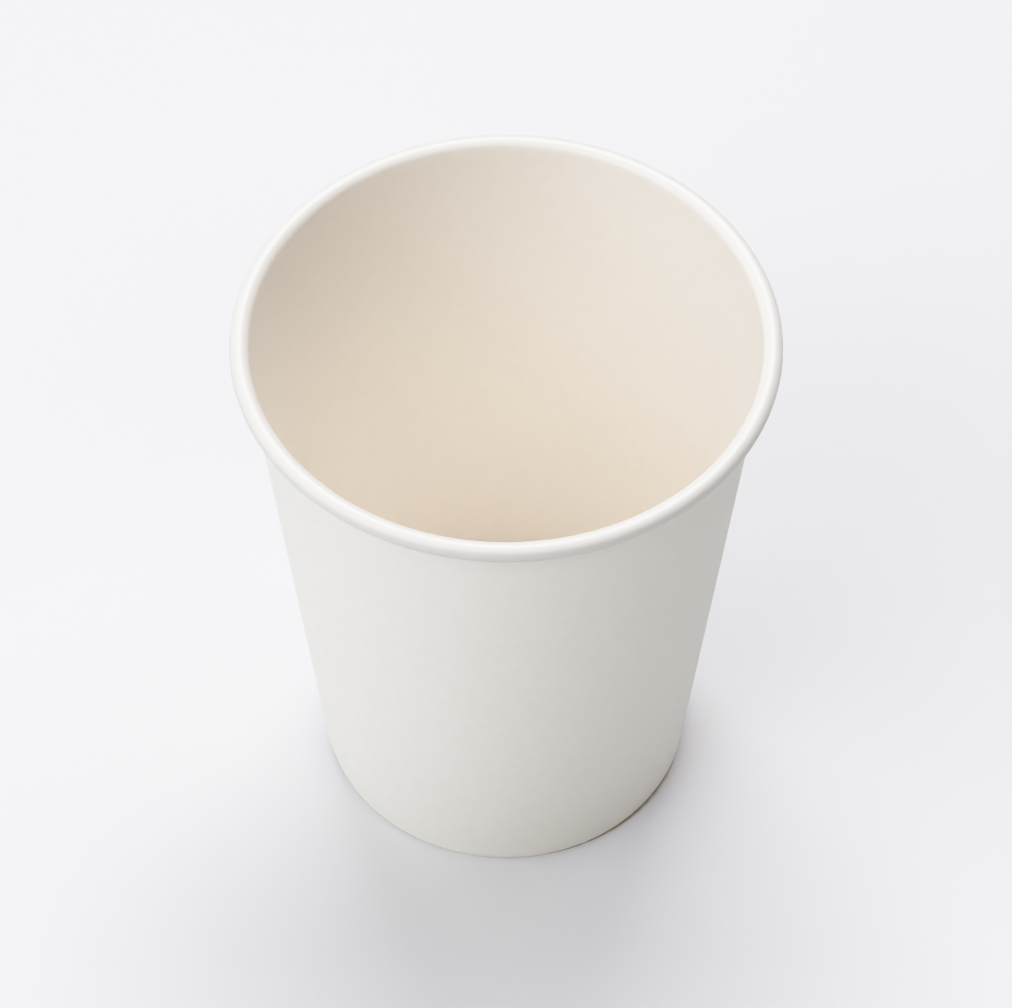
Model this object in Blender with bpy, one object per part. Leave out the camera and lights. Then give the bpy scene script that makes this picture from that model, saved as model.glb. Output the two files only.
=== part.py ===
"""A single-wall paper cup, in metres, +Z up, with its origin at the centre of the ring it stands on.

The sidewall is one fan of coated board. It is wrapped to a cone and lapped at a side seam, its top
edge is curled outward into the rim, and its foot is folded in and up as a hem. The bottom is a
round of the same board, pressed to a tray whose skirt hangs down into the hem.
"""

from collections import namedtuple
from math import acos, atan2, ceil, cos, hypot, pi, radians, sin, tan, tau

import bmesh
import bpy

MM = 0.001

# The cup as a lid, a sleeve and a table meet it
rim_diameter = 80 * MM
foot_diameter = 56 * MM
cup_height = 93 * MM

# The board, and the clearance left between the two pieces
board = 0.4 * MM
seat_gap = 0.3 * MM

# The curled rim: the free core inside it, the space between its turns, and how far it tucks in
curl_core = 0.3 * MM
curl_gap = 0.32 * MM
curl_tighten_from = radians(-72)
curl_tuck = radians(35)

# The foot: the recess under the floor, what the hem leaves free below it, and the bends' insides
recess_depth = 7.5 * MM
hem_clearance = 0.9 * MM
disc_bend = 0.4 * MM
fold_bend_share = 0.15

# The side seam: where its outer and inner flaps end, and how much the pressed lap adds
seam_outer_edge = radians(182)
seam_inner_edge = radians(194)
seam_ramp = radians(9)
seam_cut = radians(0.14)
seam_step = 0.25 * MM
seam_fade = 3 * MM
rim_lap_share = 0.15

# How finely the round shapes are cut into facets
cup_facet = radians(5)
curl_facet = radians(18)
bend_facet = radians(33)
facet_rounding_share = 0.49
sharp_edge = radians(40)

weld = 0.001 * MM

board_white = (0.87, 0.87, 0.86, 1)
board_roughness = 0.62
coated_white = (0.86, 0.84, 0.80, 1)
coated_roughness = 0.45

# The curl is worked out from its core outward, each radius to the middle of the board
curl_radius = curl_core + board / 2 + curl_gap + board
curl_r = rim_diameter / 2 - board / 2 - curl_radius
curl_z = cup_height - board / 2 - curl_radius

# The wall's outer face runs straight from the foot's edge to where it touches the curl
wall_run = curl_r - foot_diameter / 2
wall_lean = acos((curl_radius - board / 2) / hypot(wall_run, curl_z)) - atan2(curl_z, wall_run)
curl_foot = curl_z + curl_radius * sin(wall_lean)

# The pocket between wall and hem holds the disc's skirt with the clearance on both its faces
pocket = board + 2 * seat_gap
fold_radius = pocket * fold_bend_share + board / 2
disc_bend_radius = disc_bend + board / 2

# A place along a piece's section: the middle of the board, the way its outer face looks, and the
# share of the seam's thickness that shows there
Station = namedtuple("Station", "r z out_r out_z lap", defaults=[0])


def wall_middle(z, inward=0):
    """The radius at a height of the middle of the sidewall, or of a layer that lies inside it."""
    return foot_diameter / 2 - (board / 2 + inward) / cos(wall_lean) + z * tan(wall_lean)


def on_wall(z, lap):
    return Station(wall_middle(z), z, cos(wall_lean), -sin(wall_lean), lap)


def on_hem(z, lap):
    return Station(wall_middle(z, pocket + board), z, -cos(wall_lean), sin(wall_lean), lap)


def even_steps(first, last, facet):
    steps = ceil(abs(last - first) / facet)
    return [first + (last - first) * step / steps for step in range(steps + 1)]


def bend(centre_r, centre_z, radius, first, last):
    """An arc of board that is bent away from its outer face."""
    return [
        Station(centre_r + radius * cos(a), centre_z + radius * sin(a), cos(a), sin(a))
        for a in even_steps(first, last, bend_facet)
    ]


def clamped(share):
    return min(max(share, 0), 1)


def eased(share):
    return clamped(share) ** 2 * (3 - 2 * clamped(share))


def curl():
    """The rim's scroll: a round turn that tightens below, so that its end tucks inside its start."""
    full_turn = -pi - wall_lean
    tightening = curl_tighten_from - full_turn
    stations = []
    for a in even_steps(pi - wall_lean, full_turn - curl_tuck, curl_facet):
        turned = clamped((curl_tighten_from - a) / tightening)
        radius = curl_radius - (board + curl_gap) * eased(turned)
        slope = (board + curl_gap) * 6 * turned * (1 - turned) / tightening
        out_r = -radius * cos(a) - slope * sin(a)
        out_z = -radius * sin(a) + slope * cos(a)
        length = hypot(out_r, out_z)
        r = curl_r + radius * cos(a)
        z = curl_z + radius * sin(a)
        stations.append(Station(r, z, out_r / length, out_z / length, rim_lap_share))
    return stations


def fold():
    """The foot's fold: a flat ring to stand on, with a tight bend into the hem and into the wall."""
    z = fold_radius + board / 2
    sideways = fold_radius / cos(wall_lean)
    hem_bend_r = wall_middle(z, pocket + board) + sideways
    wall_bend_r = wall_middle(z) - sideways
    hem_bend = bend(hem_bend_r, z, fold_radius, -pi - wall_lean, -pi / 2)
    return hem_bend + bend(wall_bend_r, z, fold_radius, -pi / 2, -wall_lean)


def sidewall_section():
    """From the hem's cut edge down, round the fold, up the wall and into the curl."""
    hem_top = recess_depth - hem_clearance
    hem = [on_hem(hem_top, 1), on_hem(min(seam_fade, hem_top / 2), 1)]
    wall = [on_wall(seam_fade, 1), on_wall(curl_foot - seam_fade, 1)]
    return hem + fold() + wall + curl()


def disc_section():
    """From the middle of the floor out to its bend and down to the skirt's cut edge."""
    floor_z = recess_depth + board / 2
    inward = board + seat_gap
    bend_z = floor_z - disc_bend_radius
    bend_r = wall_middle(bend_z, inward) - disc_bend_radius / cos(wall_lean)
    skirt_z = board + seat_gap
    skirt_end = Station(wall_middle(skirt_z, inward), skirt_z, cos(wall_lean), -sin(wall_lean))
    edge = bend(bend_r, bend_z, disc_bend_radius, pi / 2, -wall_lean)
    return [Station(0, floor_z, 0, 1)] + edge + [skirt_end]


def add_outline(bm, stations, closed, angle):
    """Draws both faces of the board upright at an angle, and notes on each point how it laps."""
    laps = bm.verts.layers.float_vector.new("laps")
    faces = [(station, -1) for station in stations] + [(station, 1) for station in stations[::-1]]
    points = []
    for station, side in faces:
        r = station.r + station.out_r * side * board / 2
        z = station.z + station.out_z * side * board / 2
        point = bm.verts.new((r * cos(angle), r * sin(angle), z))
        point[laps] = (station.out_r * station.lap, station.out_z * station.lap, side)
        points.append(point)
    following = points[1:] + points[:1] if closed else points[1:]
    edges = [bm.edges.new(ends) for ends in zip(points, following)]
    return points + edges


def turn(bm, outline, start, stops):
    """Turns the outline about the cup's axis from one stop to the next, and closes it."""
    for first, last in zip([start] + stops, stops):
        steps = round((last - first) / cup_facet + facet_rounding_share)
        turned = bmesh.ops.spin(bm, geom=outline, axis=(0, 0, 1), angle=last - first, steps=steps)
        outline = turned["geom_last"]
    bmesh.ops.remove_doubles(bm, verts=bm.verts, dist=weld)
    bmesh.ops.recalc_face_normals(bm, faces=bm.faces)


def raise_lap(bm):
    """Lifts the faces off the cone at the side seam: the outer flap's edge is a sharp step outside,
    the inner flap's edge a step in the lining, and past that the board eases back to the cone."""
    laps = bm.verts.layers.float_vector["laps"]
    for point in bm.verts:
        angle = atan2(point.co.y, point.co.x) % tau
        past_inner = (angle - seam_inner_edge) / seam_cut + 0.5
        past_outer = (angle - seam_outer_edge) / seam_cut + 0.5
        eased_back = 1 - eased((angle - seam_inner_edge - seam_cut / 2) / seam_ramp)
        out_r, out_z, side = point[laps]
        lift = seam_step * eased_back * clamped(past_outer if side > 0 else past_inner)
        point.co.x += lift * out_r * cos(angle)
        point.co.y += lift * out_r * sin(angle)
        point.co.z += lift * out_z


def finish(bm, name, colour, roughness):
    """Makes the mesh an object of its own, shaded smooth and with a material of its own."""
    bm.verts.layers.float_vector.remove(bm.verts.layers.float_vector["laps"])
    mesh = bpy.data.meshes.new(name)
    bm.to_mesh(mesh)
    bm.free()
    mesh.shade_smooth()
    mesh.set_sharp_from_angle(angle=sharp_edge)
    material = bpy.data.materials.new(name)
    material.use_nodes = True
    shader = material.node_tree.nodes["Principled BSDF"]
    shader.inputs["Base Color"].default_value = colour
    shader.inputs["Roughness"].default_value = roughness
    shader.inputs["Metallic"].default_value = 0
    mesh.materials.append(material)
    bpy.context.collection.objects.link(bpy.data.objects.new(name, mesh))


def make_sidewall():
    bm = bmesh.new()
    start = seam_outer_edge - seam_cut / 2
    outline = add_outline(bm, sidewall_section(), True, start)
    flap_ends = [start + seam_cut, seam_inner_edge - seam_cut / 2, seam_inner_edge + seam_cut / 2]
    quarters = [3 * pi / 2, tau, 5 * pi / 2, 3 * pi]
    turn(bm, outline, start, flap_ends + [flap_ends[-1] + seam_ramp] + quarters + [start + tau])
    raise_lap(bm)
    finish(bm, "sidewall", board_white, board_roughness)


def make_bottom_disc():
    bm = bmesh.new()
    outline = add_outline(bm, disc_section(), False, 0)
    turn(bm, outline, 0, [tau])
    finish(bm, "bottom_disc", coated_white, coated_roughness)


for old in list(bpy.data.objects):
    bpy.data.objects.remove(old)
make_sidewall()
make_bottom_disc()
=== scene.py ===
import math

import bpy
import numpy as np
from mathutils import Matrix, Vector


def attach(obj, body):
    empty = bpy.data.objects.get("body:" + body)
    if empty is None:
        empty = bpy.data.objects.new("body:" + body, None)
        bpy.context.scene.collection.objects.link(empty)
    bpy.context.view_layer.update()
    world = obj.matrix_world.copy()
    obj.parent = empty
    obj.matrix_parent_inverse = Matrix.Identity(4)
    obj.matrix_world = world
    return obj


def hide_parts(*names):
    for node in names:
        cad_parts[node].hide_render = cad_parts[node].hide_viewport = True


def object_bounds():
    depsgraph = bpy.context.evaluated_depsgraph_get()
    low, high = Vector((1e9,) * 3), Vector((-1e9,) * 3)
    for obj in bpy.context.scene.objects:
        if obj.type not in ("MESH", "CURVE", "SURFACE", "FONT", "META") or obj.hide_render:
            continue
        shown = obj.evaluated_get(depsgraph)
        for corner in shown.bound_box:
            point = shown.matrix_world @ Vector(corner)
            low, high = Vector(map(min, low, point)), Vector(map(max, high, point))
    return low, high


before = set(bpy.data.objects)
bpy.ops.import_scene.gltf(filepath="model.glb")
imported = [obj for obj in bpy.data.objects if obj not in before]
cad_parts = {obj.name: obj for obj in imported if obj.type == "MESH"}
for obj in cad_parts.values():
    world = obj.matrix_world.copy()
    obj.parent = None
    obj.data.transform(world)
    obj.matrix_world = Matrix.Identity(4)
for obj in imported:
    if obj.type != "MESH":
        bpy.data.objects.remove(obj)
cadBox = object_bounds()

mm = 0.001

# What both pieces share. The rim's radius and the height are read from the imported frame.
cup = {
    "rimRadius": min(-cadBox[0].x, cadBox[1].x, -cadBox[0].y, cadBox[1].y),
    "height": cadBox[1].z,
    "footRadius": 28 * mm,
    "board": 0.4 * mm,
    "pocket": 1.0 * mm,         # free width inside the foot's fold
    "seatGap": 0.03 * mm,       # clearance left on each face of the disc's skirt
    "recess": 7.5 * mm,         # from the table to the floor's underside
    "sharpFrom": 40,            # degrees between two faces that are shaded with an edge
}


def eased(share):
    # 0 below 0, 1 above 1, and a smooth s-curve between
    share = np.clip(share, 0, 1)
    return share * share * (3 - 2 * share)


def sines(table, angle, up=0.0):
    # a sum of sines round the cup, between -1 and 1; each has its count round the cup, its phase,
    # the change of that phase from the table to the rim, and its share of the sum
    return sum(share * np.sin(count * angle + phase + climb * up)
               for count, phase, climb, share in table)


# Colours and materials

def hexColour(code):
    # sRGB hex to linear RGBA
    parts = [int(code[k:k + 2], 16) / 255 for k in (1, 3, 5)]
    return [c / 12.92 if c <= 0.04045 else ((c + 0.055) / 1.055) ** 2.4 for c in parts] + [1.0]


def addNode(tree, kind, inputs=None, **settings):
    # a node with its settings, and each named input set to a value or linked to a socket
    node = tree.nodes.new(kind)
    for name, value in settings.items():
        setattr(node, name, value)
    for name, value in (inputs or {}).items():
        if isinstance(value, bpy.types.NodeSocket):
            tree.links.new(value, node.inputs[name])
        else:
            node.inputs[name].default_value = value
    return node


def newMaterial(name):
    material = bpy.data.materials.new(name)
    material.use_nodes = True
    tree = material.node_tree
    return material, tree, tree.nodes["Principled BSDF"]


def blankInMm(tree):
    # the place on the flat blank, in millimetres
    uv = addNode(tree, "ShaderNodeUVMap", uv_map="blank").outputs["UV"]
    return addNode(tree, "ShaderNodeVectorMath", {0: uv, "Scale": 1 / mm},
                   operation="SCALE").outputs["Vector"]


# The pulp is the same in every board, clouds about 2 mm wide and fibres about 0.1 mm wide.
pulp = {
    "cloudsPerMm": 0.45,
    "cloudDetail": 3.0,
    "fibresPerMm": 1.0,         # before they are stretched
    "fibreDetail": 2.0,
    "noiseRoughness": 0.6,
    "noiseDistortion": 0.3,
    "alongTurn": 12,            # degrees that most fibres lie turned on the blank
    "alongStretch": (1.1, 7.5, 1.0),
    "acrossTurn": -62,
    "acrossStretch": (1.4, 6.0, 1.0),
    "reliefInClouds": (0.7, 1.3),
    "roughnessSpread": 0.03,
    "specular": 0.4,
    "coatRoughness": 0.35,
}

# Each board turns from its colour to its shade in the clouds, and its fibres stand up by a height.
# The coated board has a roughness where it is rolled into the rim, and darker colours there that
# are painted shade: one round the roll and a darker one on its lower flank.
boards = {
    "bleachedBoardUncoated": {
        "colour": "#f3f1e9",
        "shade": "#f1eee6",
        "roughness": 0.62,
        "fibreHeight": 0.010 * mm,
        "coat": 0.0,
    },
    "boardPolyethyleneCoated": {
        "colour": "#fef8f0",
        "shade": "#fcf6ed",
        "roughness": 0.42,
        "fibreHeight": 0.005 * mm,
        "coat": 0.15,
        # painted shade: a darker copy of this board's colour round the roll
        "rollPaintedShadeColour": "#e8e6e1",
        # painted shade on the roll's lower flank, darker still
        "flankPaintedShadeColour": "#d8d6d1",
        "rollRoughness": 0.36,
    },
    "boardCutEdgeFibrous": {
        "colour": "#ece6da",
        "shade": "#e2dacb",
        "roughness": 0.9,
        "fibreHeight": 0.04 * mm,
        "coat": 0.0,
    },
}


def noise(tree, place, scale, detail, turn=0.0, stretch=(1.0, 1.0, 1.0)):
    # cloudy noise from 0 to 1; scale is in clouds per millimetre
    laid = addNode(tree, "ShaderNodeMapping",
                   {"Vector": place, "Rotation": (0, 0, math.radians(turn)), "Scale": stretch})
    return addNode(tree, "ShaderNodeTexNoise",
                   {"Vector": laid.outputs["Vector"], "Scale": scale, "Detail": detail,
                    "Roughness": pulp["noiseRoughness"],
                    "Distortion": pulp["noiseDistortion"]}, noise_dimensions="2D").outputs["Fac"]


def blended(tree, factor, low, high):
    # from one number to another as the factor goes from 0.25 to 0.75
    return addNode(tree, "ShaderNodeMapRange",
                   {"Value": factor, "From Min": 0.25, "From Max": 0.75, "To Min": low,
                    "To Max": high}).outputs["Result"]


def mixed(tree, factor, low, high):
    # from one colour to another as the factor goes from 0 to 1
    return addNode(tree, "ShaderNodeMix", {"Factor": factor, 6: low, 7: high},
                   data_type="RGBA").outputs[2]


def multiplied(tree, first, second):
    return addNode(tree, "ShaderNodeMath", {0: first, 1: second},
                   operation="MULTIPLY").outputs["Value"]


def boardMaterial(name, board):
    # The clouds turn the colour, the fibres make the bump and vary the roughness.
    material, tree, shader = newMaterial(name)
    place = blankInMm(tree)
    clouds = noise(tree, place, pulp["cloudsPerMm"], pulp["cloudDetail"])
    along = noise(tree, place, pulp["fibresPerMm"], pulp["fibreDetail"], pulp["alongTurn"],
                  pulp["alongStretch"])
    across = noise(tree, place, pulp["fibresPerMm"], pulp["fibreDetail"], pulp["acrossTurn"],
                   pulp["acrossStretch"])
    surface = mixed(tree, blended(tree, clouds, 0.0, 1.0), hexColour(board["colour"]),
                    hexColour(board["shade"]))
    gloss = blended(tree, along, board["roughness"] - pulp["roughnessSpread"],
                    board["roughness"] + pulp["roughnessSpread"])
    relief = multiplied(tree, multiplied(tree, along, across),
                        blended(tree, clouds, *pulp["reliefInClouds"]))
    bump = addNode(tree, "ShaderNodeBump",
                   {"Height": relief, "Strength": 1.0, "Distance": board["fibreHeight"]})
    if "rollPaintedShadeColour" in board:
        # the share goes from 0 on the wall to 1 round the roll, and on to 2 on its lower flank;
        # from 1 to 2 it mixes in a darker colour, painted shade under the roll
        share = addNode(tree, "ShaderNodeAttribute", attribute_name="rollShareAndPaintedShade").outputs["Fac"]
        paintedFlankShade = addNode(tree, "ShaderNodeMath", {0: share, 1: 1.0}, operation="SUBTRACT",
                        use_clamp=True).outputs["Value"]
        # painted shade: the roll is made darker than the rest of the board
        surface = mixed(tree, share, surface, hexColour(board["rollPaintedShadeColour"]))
        # painted shade on the roll's lower flank
        surface = mixed(tree, paintedFlankShade, surface, hexColour(board["flankPaintedShadeColour"]))
        gloss = addNode(tree, "ShaderNodeMix",
                        {"Factor": share, "A": gloss,
                         "B": board["rollRoughness"]}).outputs["Result"]
    tree.links.new(surface, shader.inputs["Base Color"])
    tree.links.new(bump.outputs["Normal"], shader.inputs["Normal"])
    tree.links.new(gloss, shader.inputs["Roughness"])
    shader.inputs["Specular IOR Level"].default_value = pulp["specular"]
    shader.inputs["Coat Weight"].default_value = board["coat"]
    shader.inputs["Coat Roughness"].default_value = pulp["coatRoughness"]
    return material


# Sections: places along the middle of the board, one row each

lapColumn = 4                   # of the lap's share in what rowsOf gives


def rowsOf(r, z, outR, outZ, lap=0.0, rim=0.0, knurl=0.0, paintedFlankShade=0.0):
    # radius, height, the normal towards the outer face, and the shares from 0 to 1 of the lap, the
    # rim, the knurl or pleats, and the roll's lower flank, where shade is painted
    columns = np.broadcast_arrays(r, z, outR, outZ, lap, rim, knurl, paintedFlankShade)
    return np.stack([np.asarray(c, float).reshape(-1) for c in columns], axis=1)


def bendRows(centreR, centreZ, radius, first, last, count, stretch=1.0, lap=0.0, knurl=0.0):
    # an arc: the centre plus the radius times (cos a, stretch sin a), so an ellipse when stretched,
    # with its outer face outside
    a = np.linspace(first, last, count)
    outR, outZ = stretch * np.cos(a), np.sin(a)
    length = np.hypot(outR, outZ)
    return rowsOf(centreR + radius * np.cos(a), centreZ + radius * stretch * np.sin(a),
                  outR / length, outZ / length, lap, 0, knurl)


outerFace, drinkSide, cutBoard = 0, 1, 2     # material slots of both pieces


def makePiece(name, points, faces, uvs, slots, materials):
    # uvs holds one pair for each corner of each face
    mesh = bpy.data.meshes.new(name)
    mesh.from_pydata(points.tolist(), [], faces)
    mesh.uv_layers.new(name="blank").data.foreach_set(
        "uv", np.asarray(uvs, np.float32).reshape(-1))
    mesh.polygons.foreach_set("material_index", np.asarray(slots, np.int32).reshape(-1))
    for material in materials:
        mesh.materials.append(material)
    mesh.shade_smooth()
    mesh.set_sharp_from_angle(angle=math.radians(cup["sharpFrom"]))
    piece = bpy.data.objects.new(name, mesh)
    bpy.context.scene.collection.objects.link(piece)
    return piece


# The sidewall, one piece of board from the hem's cut edge to the curl's end

sidewall = {
    "curlCore": 0.3 * mm,       # free radius inside the curl's last turn
    "curlGap": 0.32 * mm,       # space between the curl's turns
    "tightenFrom": -72,         # degrees round the curl, 90 is its top
    "tuck": 35,                 # degrees that the curl's end runs on inside the wall
    "hemClearance": 0.9 * mm,   # from the hem's cut edge up to the floor
    "pressFrom": 1.0 * mm,      # height from which the hem closes on the disc's skirt
    "pressOver": 2.2 * mm,      # and over which it does
    "foldHalfWidth": 1.0 * mm,  # of the fold's bend into the wall, an ellipse
    "foldHalfHeight": 2.2 * mm,
    "foldInner": 0.1 * mm,      # radius inside the fold's bend into the hem
    "seamOuterEdge": 182,       # degrees round the cup where the outer flap is cut
    "seamInnerEdge": 194,       # and where the inner one is
    "seamRamp": 9,              # degrees over which the board eases back past the lap
    "seamCut": 0.14,            # degrees that a cut edge takes
    "seamStep": 0.25 * mm,      # thickness that the pressed lap adds
    "seamFade": 3 * mm,         # height over which it is pressed flush at fold and rim
    "rimLapShare": 0.04,        # share of the step that is left in the rim
    "knurlDepth": 0.08 * mm,    # ribs that the hem is rolled with
    "knurls": 106,
    "knurlFrom": 1.3 * mm,      # height where the ribs start
    "knurlMargin": 0.4 * mm,    # plain board between them and the hem's cut edge
    "knurlEase": 0.6 * mm,      # height over which they come in and go out
    "waveHeight": 0.02 * mm,    # how far the board strays from a true cone
    "waveFrom": 2 * mm,         # height where the waves start
    "waveOver": 20 * mm,        # and over which they come in
    "waves": ((3, 1.1, 2.0, 0.45), (5, 0.4, -3.1, 0.25), (9, 2.6, 4.3, 0.18),
              (14, 5.0, -5.2, 0.12)),
    "rimRipple": 0.005 * mm,    # faint puckers where the board is curled
    "puckers": ((61, 0.7, 0, 0.4), (89, 2.9, 0, 0.35), (113, 4.4, 0, 0.25)),
    "rimToneOver": 70,          # degrees of the roll over which its share comes in: its roughness, its puckers and its painted shade
    "flankToneFrom": 45,        # degrees round the curl where the painted shade on its lower flank starts
    "flankPaintedShadeOver": 75,
    "columns": 640,
    "hemRows": 11,
    "innerBendRows": 7,
    "outerBendRows": 13,
    "wallRows": (3, 6, 4),      # close ones above the fold, wide ones, close ones below the rim
    "curlRows": 32,
    "footRowsTo": 5 * mm,       # height up to which the wall's rows are close
    "wideRowsFrom": 8 * mm,     # from the table and from the curl's foot
    "foldMargin": 0.5 * mm,     # from the fold's bend to the wall's first row
    "rowMargin": 0.4 * mm,      # from any other bend to the next row
}

curlRadius = sidewall["curlCore"] + 1.5 * cup["board"] + sidewall["curlGap"]
curlR = cup["rimRadius"] - cup["board"] / 2 - curlRadius
curlZ = cup["height"] - cup["board"] / 2 - curlRadius
wallRun = curlR - cup["footRadius"]
wallLean = (math.acos((curlRadius - cup["board"] / 2) / math.hypot(wallRun, curlZ))
            - math.atan2(curlZ, wallRun))
leanCos, leanSin = math.cos(wallLean), math.sin(wallLean)


def wallMiddle(z, inward=0.0):
    # radius of the middle of the wall at height z, or of a layer that lies inward of it
    return (cup["footRadius"] - (cup["board"] / 2 + inward) / leanCos
            + z * math.tan(wallLean))


def curlRows():
    # a round turn whose radius eases down by one board and one gap, so that its end tucks inside
    fullTurn = -math.pi - wallLean
    first = math.radians(sidewall["tightenFrom"])
    a = np.linspace(math.pi - wallLean, fullTurn - math.radians(sidewall["tuck"]),
                    sidewall["curlRows"])
    turned = np.clip((first - a) / (first - fullTurn), 0, 1)
    drop = cup["board"] + sidewall["curlGap"]
    radius = curlRadius - drop * eased(turned)
    slope = drop * 6 * turned * (1 - turned) / (first - fullTurn)
    outR = -radius * np.cos(a) - slope * np.sin(a)
    outZ = -radius * np.sin(a) + slope * np.cos(a)
    length = np.hypot(outR, outZ)
    # the roll's share, which brings in its roughness and its painted shade
    rim = eased((math.pi - wallLean - a) / math.radians(sidewall["rimToneOver"]))
    # the lower flank's share of painted shade
    paintedFlankShade = eased((math.radians(sidewall["flankToneFrom"]) - a)
                  / math.radians(sidewall["flankPaintedShadeOver"]))
    return rowsOf(curlR + radius * np.cos(a), curlZ + radius * np.sin(a), outR / length,
                  outZ / length, sidewall["rimLapShare"], rim, 0, paintedFlankShade)


def sidewallRows():
    # from the hem's cut edge down, round the fold, up the wall and into the curl
    hemTop = cup["recess"] - sidewall["hemClearance"]
    hemBend = sidewall["foldInner"] + cup["board"] / 2
    hemBendZ = hemBend + cup["board"] / 2
    wallBend, rise = sidewall["foldHalfWidth"], sidewall["foldHalfHeight"]
    wallBendZ = rise + cup["board"] / 2
    bendEnd = -math.atan(math.tan(wallLean) * rise / wallBend)
    bendTop = wallBendZ + rise * math.sin(bendEnd)
    hemZ = np.linspace(hemTop, hemBendZ + sidewall["rowMargin"], sidewall["hemRows"])
    knurl = (eased((hemTop - sidewall["knurlMargin"] - hemZ) / sidewall["knurlEase"])
             * eased((hemZ - sidewall["knurlFrom"]) / sidewall["knurlEase"]))
    # above the fold the hem is pressed against the disc's skirt, and its slope follows from that
    pressed = cup["pocket"] - cup["board"] - 2 * cup["seatGap"]
    press = pressed * eased((hemZ - sidewall["pressFrom"]) / sidewall["pressOver"])
    hemR = wallMiddle(hemZ, cup["pocket"] + cup["board"]) + press
    hemTilt = np.arctan(np.gradient(hemR, hemZ))
    hem = rowsOf(hemR, hemZ, -np.cos(hemTilt), np.sin(hemTilt), 1, 0, knurl)
    hemCorner = wallMiddle(hemBendZ, cup["pocket"] + cup["board"]) + hemBend / leanCos
    wallCorner = wallMiddle(bendTop) - wallBend * math.cos(bendEnd)
    inner = bendRows(hemCorner, hemBendZ, hemBend, -math.pi - wallLean, -math.pi / 2,
                     sidewall["innerBendRows"], lap=1)
    outer = bendRows(wallCorner, wallBendZ, wallBend, -math.pi / 2, bendEnd,
                     sidewall["outerBendRows"], rise / wallBend, lap=1)
    curlFoot = curlZ + curlRadius * leanSin
    fade, wide = sidewall["seamFade"], sidewall["wideRowsFrom"]
    low, middle, high = sidewall["wallRows"]
    wallZ = np.concatenate([
        np.linspace(bendTop + sidewall["foldMargin"], sidewall["footRowsTo"], low),
        np.linspace(wide, curlFoot - wide, middle),
        np.linspace(curlFoot - fade, curlFoot - sidewall["rowMargin"], high)])
    lapDown = 1 - (1 - sidewall["rimLapShare"]) * eased((wallZ - curlFoot + fade) / fade)
    wall = rowsOf(wallMiddle(wallZ), wallZ, leanCos, -leanSin, lapDown)
    rows = np.concatenate([hem, inner, outer, wall])
    # the lap fades out towards the fold
    rows[:, lapColumn] *= eased((rows[:, 1] - hemBendZ) / (fade - hemBendZ))
    return np.concatenate([rows, curlRows()])


def sidewallAngles():
    # close columns at the two cut edges of the lap, even ones everywhere else
    cut = sidewall["seamCut"]
    start = sidewall["seamOuterEdge"] - cut / 2
    stops = [start, start + cut, sidewall["seamInnerEdge"] - cut / 2,
             sidewall["seamInnerEdge"] + cut / 2, start + 360]
    runs = []
    for low, high in zip(stops, stops[1:]):
        steps = max(1, round((high - low) * sidewall["columns"] / 360))
        runs.append(np.linspace(low, high, steps, endpoint=False))
    return np.radians(np.concatenate(runs))


def lapLift(angles, side):
    # the outer face steps up at the outer flap's edge, the drink side at the inner flap's edge,
    # and both ease back to the cone past it
    degrees = np.degrees(angles) % 360
    cut = sidewall["seamCut"]
    outer = np.clip((degrees - sidewall["seamOuterEdge"]) / cut + 0.5, 0, 1)
    inner = np.clip((degrees - sidewall["seamInnerEdge"]) / cut + 0.5, 0, 1)
    back = 1 - eased((degrees - sidewall["seamInnerEdge"] - cut / 2) / sidewall["seamRamp"])
    return np.where(side[None, :] > 0, outer[:, None], inner[:, None]) * back[:, None]


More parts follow.
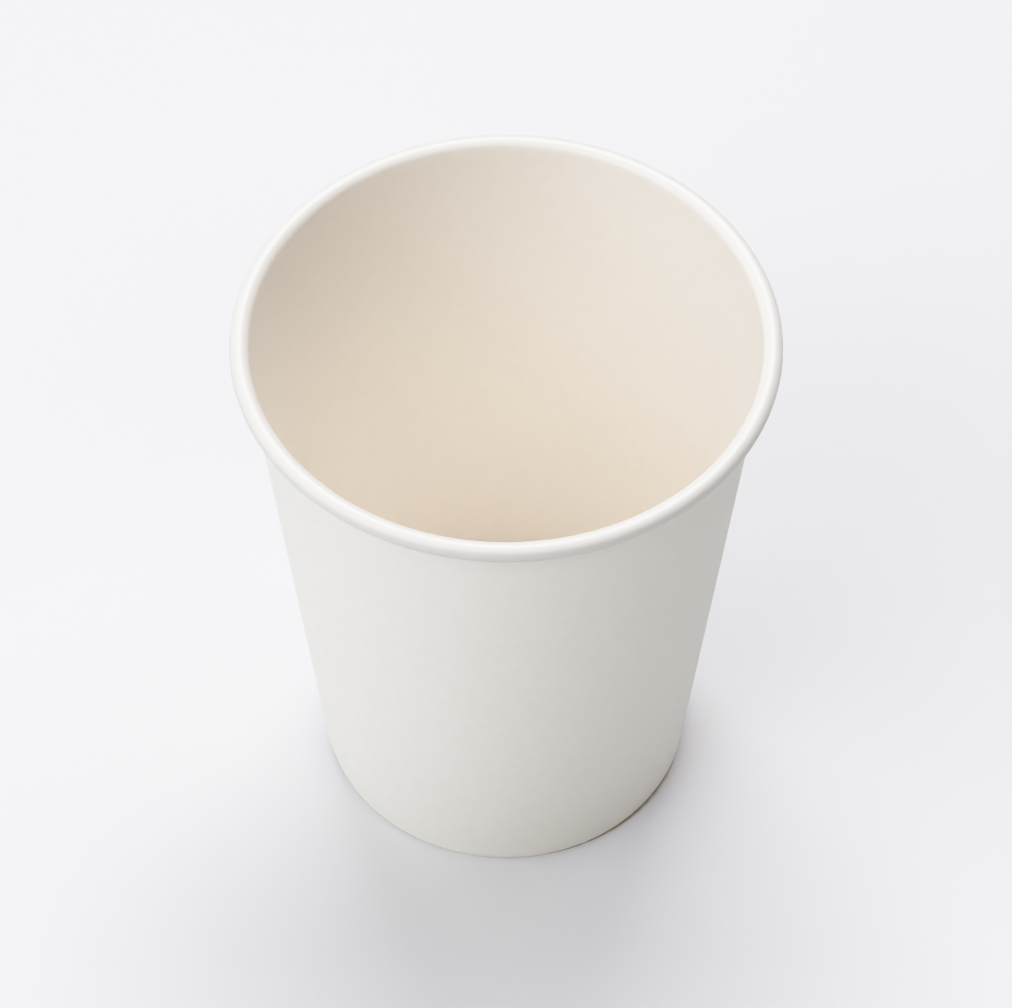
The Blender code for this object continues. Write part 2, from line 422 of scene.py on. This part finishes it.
def makeSidewall(materials):
    # A point stands on one face of the section, turned to its angle, and is moved along the
    # section's normal by the lap, the knurl, the board's slow waves and the rim's puckers.
    rows = sidewallRows()
    angles = sidewallAngles()
    count = len(rows)
    side = np.repeat([-1.0, 1.0], count)                     # drink side, then outer face
    loop = np.concatenate([rows, rows[::-1]])
    middleR, middleZ, outR, outZ, lap, rim, knurl, paintedFlankShade = loop.T
    lift = lapLift(angles, side) * lap * sidewall["seamStep"]
    rib = 0.5 - 0.5 * np.cos(angles * sidewall["knurls"])
    lift = lift - sidewall["knurlDepth"] * rib[:, None] * (knurl * (side > 0))
    free = eased((middleZ - sidewall["waveFrom"]) / sidewall["waveOver"]) * (1 - rim)
    wave = sines(sidewall["waves"], angles[:, None], middleZ / cup["height"])
    lift = lift + sidewall["waveHeight"] * free * wave
    ripple = 1 - sines(sidewall["puckers"], angles)
    lift = lift + sidewall["rimRipple"] * rim * ripple[:, None]
    r = middleR + outR * side * cup["board"] / 2 + outR * lift
    z = middleZ + outZ * side * cup["board"] / 2 + outZ * lift
    points = np.stack([r * np.cos(angles)[:, None], r * np.sin(angles)[:, None], z], axis=-1)

    around, along = len(angles), 2 * count
    i, j = np.meshgrid(np.arange(around), np.arange(along), indexing="ij")
    nextI, nextJ = (i + 1) % around, (j + 1) % along
    faces = np.stack([i * along + j, i * along + nextJ, nextI * along + nextJ,
                      nextI * along + j], axis=-1).reshape(-1, 4)

    # The flat fan that the wall is rolled from: the slant distance from the cone's tip, and the
    # angle round the cup times the sine of the wall's lean
    foot = int(np.argmin(rows[:, 1]))
    slant = np.concatenate([[0], np.cumsum(np.hypot(np.diff(rows[:, 0]), np.diff(rows[:, 1])))])
    slant = slant - slant[foot] + cup["footRadius"] / leanSin
    slant = np.concatenate([slant, slant[::-1]])
    fan = (angles - angles[0]) * leanSin
    fanNext = np.append(fan[1:], math.tau * leanSin)
    corners = [(fan[i], slant[j]), (fan[i], slant[nextJ]), (fanNext[i], slant[nextJ]),
               (fanNext[i], slant[j])]
    uvs = np.stack([np.stack([s * np.cos(f), s * np.sin(f)], axis=-1) for f, s in corners], axis=2)

    # every cut edge shows the board's inside: the two ends and the two steps of the lap
    slot = np.where(j < count - 1, drinkSide, outerFace)
    slot[:, [count - 1, along - 1]] = cutBoard
    innerCut = int(np.argmin(np.abs(np.degrees(angles) - sidewall["seamInnerEdge"]
                                    + sidewall["seamCut"] / 2)))
    stepped = rows[:-1, lapColumn] > sidewall["rimLapShare"]
    slot[0, count:along - 1][stepped[::-1]] = cutBoard
    slot[innerCut, :count - 1][stepped] = cutBoard
    piece = makePiece("sidewallBoard", points.reshape(-1, 3), faces.tolist(), uvs, slot,
                      materials)
    # the roll's share and its lower flank's share of painted shade, read by the lining's material
    shares = piece.data.attributes.new("rollShareAndPaintedShade", "FLOAT", "POINT")
    shares.data.foreach_set("value", np.tile(rim + paintedFlankShade, around).astype(np.float32))
    return piece


# The bottom disc, pressed to a tray whose skirt hangs down into the hem

disc = {
    "bend": 0.4 * mm,
    "skirtEnd": 2.0 * mm,       # height of the skirt's cut edge
    "ringDip": 0.06 * mm,       # groove that the press leaves round the floor
    "ringRadius": 25.2 * mm,
    "ringWidth": 0.2 * mm,      # at which the groove is down to about a third
    "pleatHeight": 0.02 * mm,   # where the flat round is gathered into the skirt
    "pleats": ((47, 0, 0, 0.5), (71, 1.3, 0, 0.5)),
    "columns": 360,
    "floorRadii": (2 * mm, 8 * mm, 15 * mm, 20 * mm),
    "ringRows": 9,
    "ringReach": 0.5 * mm,      # on either side of the ring, for its rows
    "bendRows": 10,
    "skirtRows": 6,
    "skirtMargin": 0.6 * mm,    # from the bend's centre down to the skirt's first row
}


def discRows():
    # from near the middle of the floor out, round the bend and down to the skirt's cut edge
    radius = disc["bend"] + cup["board"] / 2
    inward = cup["board"] + cup["seatGap"]
    floorZ = cup["recess"] + cup["board"] / 2
    bendZ = floorZ - radius
    bendR = wallMiddle(bendZ, inward) - radius / leanCos
    ring, reach = disc["ringRadius"], disc["ringReach"]
    floorR = np.concatenate([disc["floorRadii"],
                             np.linspace(ring - reach, ring + reach, disc["ringRows"])])
    skirtZ = np.linspace(bendZ - disc["skirtMargin"], disc["skirtEnd"], disc["skirtRows"])
    skirt = rowsOf(wallMiddle(skirtZ, inward), skirtZ, leanCos, -leanSin, 0, 0, 1)
    bend = bendRows(bendR, bendZ, radius, math.pi / 2, -wallLean, disc["bendRows"],
                    knurl=np.linspace(0, 1, disc["bendRows"]))
    return np.concatenate([rowsOf(floorR, floorZ, 0, 1), bend, skirt])


def makeDisc(materials):
    # The section is turned about the axis, and a fan of triangles closes the middle of each face.
    # The ring's dip is a bell curve, exp of minus the squared distance from it over its width.
    rows = discRows()
    count = len(rows)
    side = np.repeat([1.0, -1.0], count)                     # drink side, then underside
    loop = np.concatenate([rows, rows[::-1]])
    angles = np.linspace(0, math.tau, disc["columns"], endpoint=False)
    middleR, middleZ, outR, outZ, _, _, gathered, _ = loop.T
    dip = np.exp(-((middleR - disc["ringRadius"]) / disc["ringWidth"]) ** 2)
    flat = outZ > 0.99          # the floor, without the bend
    pleat = sines(disc["pleats"], angles)
    lift = disc["pleatHeight"] * pleat[:, None] * gathered - disc["ringDip"] * (dip * flat)
    r = middleR + outR * (side * cup["board"] / 2 + lift)
    z = middleZ + outZ * (side * cup["board"] / 2 + lift)
    points = np.stack([r * np.cos(angles)[:, None], r * np.sin(angles)[:, None], z],
                      axis=-1).reshape(-1, 3)
    around, along = len(angles), 2 * count
    i, j = np.meshgrid(np.arange(around), np.arange(along - 1), indexing="ij")
    nextI = (i + 1) % around
    quads = np.stack([i * along + j, i * along + j + 1, nextI * along + j + 1,
                      nextI * along + j], axis=-1).reshape(-1, 4)
    top, bottom = len(points), len(points) + 1
    points = np.concatenate([points, [[0, 0, z[0, 0]], [0, 0, z[0, -1]]]])
    here = np.arange(around)
    beside = (here + 1) % around
    fans = np.concatenate([
        np.stack([np.full(around, top), here * along, beside * along], axis=1),
        np.stack([np.full(around, bottom), beside * along + along - 1,
                  here * along + along - 1], axis=1)])
    slot = np.where(j < count - 1, drinkSide, outerFace)
    slot[:, count - 1] = cutBoard
    slots = np.concatenate([slot.reshape(-1), np.repeat([drinkSide, outerFace], around)])
    uvs = np.concatenate([points[quads.reshape(-1), :2], points[fans.reshape(-1), :2]])
    return makePiece("bottomDiscBoard", points, quads.tolist() + fans.tolist(), uvs, slots,
                     materials)


# The photograph's camera, floor and light

camera = {
    "focalPixels": 5021,        # focal length in the photograph's pixels
    "framePixels": 1012,        # the photograph's width
    "elevation": 51.595,
    "roll": 0.085,
    "distance": 754.7 * mm,
    "target": (0.013 * mm, 0, 53.78 * mm),
    "sensorWidth": 36,
    "clipStart": 10 * mm,
}

studio = {
    "floorSize": 6,
    "floorColour": "#eaeaed",
    "floorRoughness": 0.9,
    "floorSpecular": 0.2,
    "airStrength": 0.02,
    "litPoint": (0, 0, 40 * mm),    # where all the lights are turned to
}

# The photograph's whites roll off softly, light / (1 + light^shoulder)^(1/shoulder), and its few
# darks are pulled down: below the toe, that is times light / toe to the power toePower
film = {
    "stops": (0.1, 0.2, 0.27, 0.33, 0.37, 0.42, 0.55, 0.7, 0.82, 0.94, 1.06, 1.2, 1.4, 1.7),
    "brightest": 2.2,           # the light at the curve's right end
    "shoulder": 6,
    "toe": 0.37,
    "toePower": 1.6,
}

# Azimuth is in degrees from +X, 270 towards the viewer. A light with one size is a disc.
lights = {
    "backSoftbox": {"azimuth": 90, "elevation": 60, "distance": 1.5, "size": (0.9, 0.4),
                    "watts": (12.7, 12.8, 12.8)},
    "topSoftbox": {"azimuth": 90, "elevation": 80, "distance": 1.5, "size": (1.6, 0.4),
                   "watts": (5.6, 5.3, 6.3)},
    "frontFill": {"azimuth": 270, "elevation": 60, "distance": 1.5, "size": (1.6, 0.5),
                  "watts": (5.4, 5.2, 4.6)},
    "leftWall": {"azimuth": 200, "elevation": 25, "distance": 2.0, "size": (2.0,),
                 "watts": (12.8, 13.5, 14.7)},
    "leftKey": {"azimuth": 225, "elevation": 45, "distance": 1.5, "size": (0.9,),
                "watts": (3.1, 3.5, 4.5)},
    "leftTop": {"azimuth": 180, "elevation": 60, "distance": 1.5, "size": (0.9,),
                "watts": (1.5, 1.4, 0.7)},
    "rightTop": {"azimuth": 45, "elevation": 65, "distance": 1.5, "size": (0.9,),
                 "watts": (1.7, 1.7, 1.7)},
    "lowFill": {"azimuth": 250, "elevation": 12, "distance": 1.5, "size": (0.9,),
                "watts": (2.4, 2.0, 1.5)},
    "rightEdge": {"azimuth": 20, "elevation": 15, "distance": 1.5, "size": (0.9,),
                  "watts": (1.0, 1.0, 1.0)},
}


def makeCamera():
    data = bpy.data.cameras.new("photoCamera")
    data.sensor_width = camera["sensorWidth"]
    data.lens = camera["focalPixels"] * camera["sensorWidth"] / camera["framePixels"]
    data.clip_start = camera["clipStart"]
    eye = bpy.data.objects.new("photoCamera", data)
    bpy.context.scene.collection.objects.link(eye)
    tilt = math.radians(camera["elevation"])
    back = Vector((0, -math.cos(tilt), math.sin(tilt)))
    right = Vector((1, 0, 0))
    upright = Matrix((right, back.cross(right), back)).transposed()
    turned = Matrix.Rotation(math.radians(camera["roll"]), 3, back) @ upright
    place = Vector(camera["target"]) + back * camera["distance"]
    eye.matrix_world = Matrix.Translation(place) @ turned.to_4x4()
    bpy.context.scene.camera = eye


def makeFloor():
    bpy.ops.mesh.primitive_plane_add(size=studio["floorSize"])
    floor = bpy.context.object
    floor.name = "studioFloor"
    material, tree, shader = newMaterial("matteStudioPaper")
    shader.inputs["Base Color"].default_value = hexColour(studio["floorColour"])
    shader.inputs["Roughness"].default_value = studio["floorRoughness"]
    shader.inputs["Specular IOR Level"].default_value = studio["floorSpecular"]
    floor.data.materials.append(material)


def makeLight(name, light):
    data = bpy.data.lights.new(name, "AREA")
    data.size = light["size"][0]
    data.shape = "DISK"
    if len(light["size"]) > 1:
        data.shape = "RECTANGLE"
        data.size_y = light["size"][1]
    data.energy = max(light["watts"])
    data.color = [w / data.energy for w in light["watts"]]
    lamp = bpy.data.objects.new(name, data)
    azimuth, elevation = math.radians(light["azimuth"]), math.radians(light["elevation"])
    lamp.location = light["distance"] * Vector((math.cos(elevation) * math.cos(azimuth),
                                                math.cos(elevation) * math.sin(azimuth),
                                                math.sin(elevation)))
    towards = Vector(studio["litPoint"]) - lamp.location
    lamp.rotation_euler = towards.to_track_quat("-Z", "Y").to_euler()
    bpy.context.scene.collection.objects.link(lamp)


def makeAir():
    world = bpy.data.worlds.new("studioAir")
    world.use_nodes = True
    background = world.node_tree.nodes["Background"]
    background.inputs["Color"].default_value = (1, 1, 1, 1)
    background.inputs["Strength"].default_value = studio["airStrength"]
    bpy.context.scene.world = world


def setFilmCurve():
    view = bpy.context.scene.view_settings
    view.view_transform = "Standard"
    view.use_curve_mapping = True
    mapping = view.curve_mapping
    brightest, shoulder, toe = film["brightest"], film["shoulder"], film["toe"]
    mapping.white_level = (brightest, brightest, brightest)
    stops = np.array([*film["stops"], brightest])
    shown = stops / (1 + stops ** shoulder) ** (1 / shoulder)
    shown = shown * np.minimum(stops / toe, 1) ** film["toePower"]
    points = mapping.curves[3].points
    points[1].location = (1, shown[-1])
    for light, level in zip(stops[:-1], shown[:-1]):
        points.new(light / brightest, level)
    mapping.update()


print("camera, floor and light")
makeCamera()
makeFloor()
for name, light in lights.items():
    makeLight(name, light)
makeAir()
setFilmCurve()

print("materials")
outside, lining, cutEdge = [boardMaterial(name, board) for name, board in boards.items()]

print("sidewall")
wallPiece = makeSidewall([outside, lining, cutEdge])
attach(wallPiece, "root")
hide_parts("sidewall")

print("bottom disc")
discPiece = makeDisc([outside, lining, cutEdge])
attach(discPiece, "root")
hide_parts("bottom_disc")
